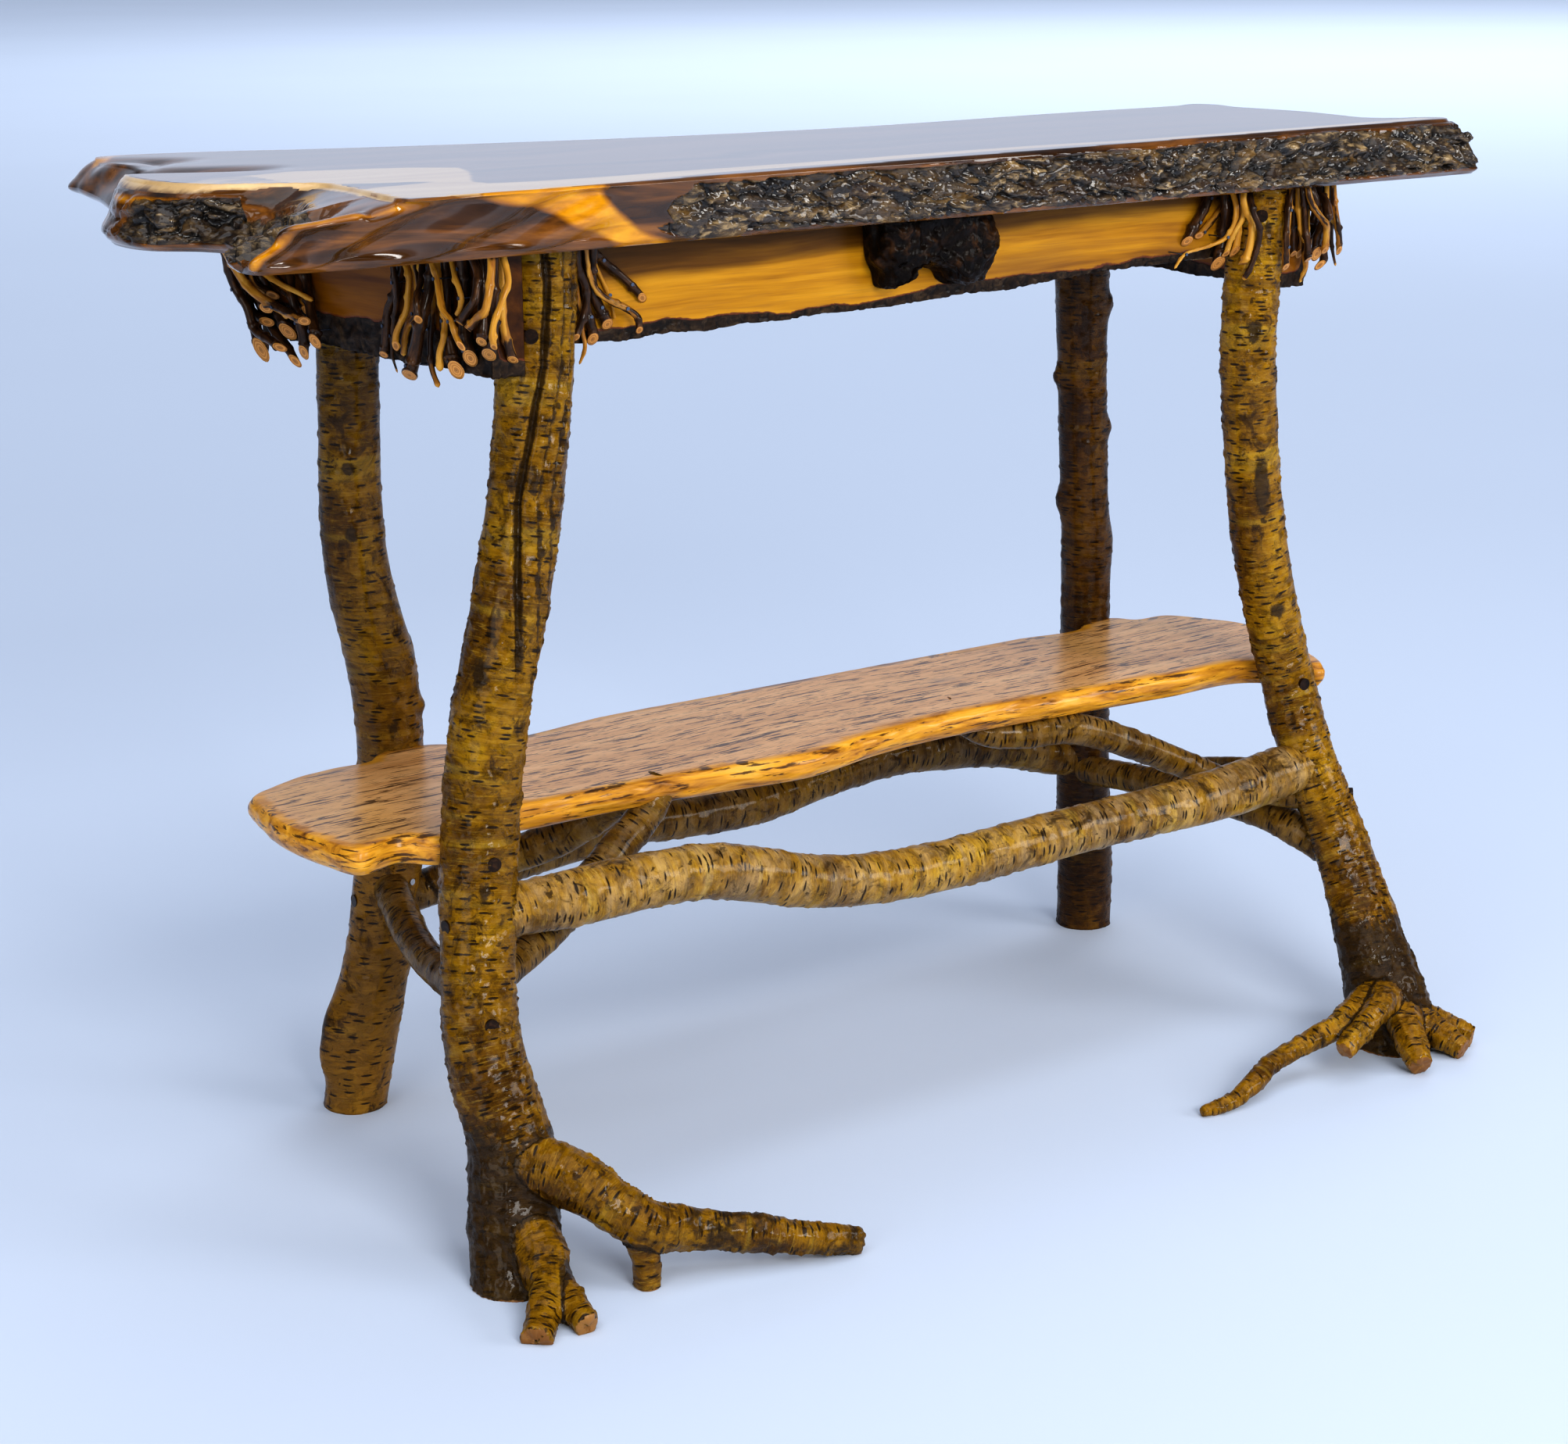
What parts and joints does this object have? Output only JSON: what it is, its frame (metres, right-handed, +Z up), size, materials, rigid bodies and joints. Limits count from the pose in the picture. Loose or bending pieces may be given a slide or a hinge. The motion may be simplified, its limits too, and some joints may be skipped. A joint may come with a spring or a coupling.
{
  "type": "console_table",
  "caption": "Rustic live-edge console table: thick bark-edged slab and shelf on branch legs with root feet, branch stretchers, twig trim and a wide drawer with burl pull",
  "frame": {"origin": "centre of the table's box at floor level", "axes": "+X along the length to the viewer's right, +Y to the back, +Z up"},
  "size_m": [1.238, 0.6492, 0.815],
  "materials": {
    "slab_walnut": "gloss",
    "birch_bark": "satin",
    "shelf_wood": "satin",
    "rail_wood": "satin",
    "inner_wood": "matte",
    "plug_wood": "satin",
    "burl_wood": "gloss",
    "twig_bark": "satin",
    "screw_steel": "satin",
    "nail_steel": "satin"
  },
  "bodies": {
    "frame": {"tabletop_slab": "slab_walnut", "leg_front_left": "birch_bark", "leg_front_right": "birch_bark", "leg_back_left": "birch_bark", "leg_back_right": "birch_bark", "stretcher_front": "birch_bark", "stretcher_back": "birch_bark", "stretcher_left": "birch_bark", "stretcher_right": "birch_bark", "brace_left": "birch_bark", "brace_right": "birch_bark", "brace_right_side": "birch_bark", "shelf_board": "shelf_wood", "end_rail_left": "rail_wood", "end_rail_right": "rail_wood", "back_rail": "rail_wood", "top_cleat_left": "inner_wood", "top_cleat_right": "inner_wood", "drawer_hanger_left": "inner_wood", "drawer_hanger_right": "inner_wood", "drawer_stop_blocks": "inner_wood", "leg_plugs": "plug_wood", "leg_lag_screws": "screw_steel", "tabletop_screws": "screw_steel", "rail_screws": "screw_steel", "hanger_screws": "screw_steel", "stop_block_screws": "screw_steel", "twigs_left_end_front": "twig_bark", "twigs_left_end_back": "twig_bark", "twigs_right_end_front": "twig_bark", "twig_nails_frame": "nail_steel"},
    "drawer": {"drawer_front": "rail_wood", "drawer_pull_burl": "burl_wood", "drawer_side_left": "inner_wood", "drawer_side_right": "inner_wood", "drawer_back": "inner_wood", "drawer_bottom": "inner_wood", "pull_screws": "screw_steel", "drawer_brads": "screw_steel", "twigs_drawer_left": "twig_bark", "twigs_drawer_right": "twig_bark", "twig_nails_drawer": "nail_steel"}
  },
  "joints": [
    {"name": "drawer_slide", "type": "slide", "parent": "frame", "child": "drawer", "axis": [0, -1, 0], "range_m": [0, 0.13]}
  ]
}
